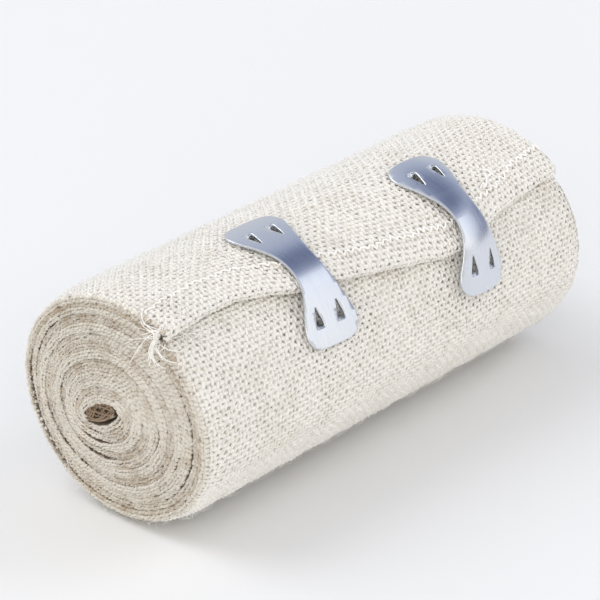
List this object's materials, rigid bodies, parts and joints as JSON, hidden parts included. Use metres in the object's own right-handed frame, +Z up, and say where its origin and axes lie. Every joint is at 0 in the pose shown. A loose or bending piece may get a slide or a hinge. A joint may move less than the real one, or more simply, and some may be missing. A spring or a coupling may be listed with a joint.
{
  "type": "crepe bandage roll",
  "caption": "Cotton crepe bandage wound into a roll, its loose end held down by barbed aluminium clips.",
  "frame": {"origin": "middle of the roll's footprint, on the surface it rests on", "axes": "+X along the roll's axis towards its far end, -Y towards the side where the loose end's edge lies, +Z up"},
  "size_m": [0.1, 0.0454, 0.0426],
  "materials": {
    "fabric": "unbleached cotton crepe, plain weave, matt and slightly fuzzy",
    "clip_metal": "thin bright rolled aluminium, lightly brushed"
  },
  "bodies": {
    "root": {"bandage": "fabric", "clip_near": "clip_metal", "clip_far": "clip_metal"}
  },
  "joints": []
}
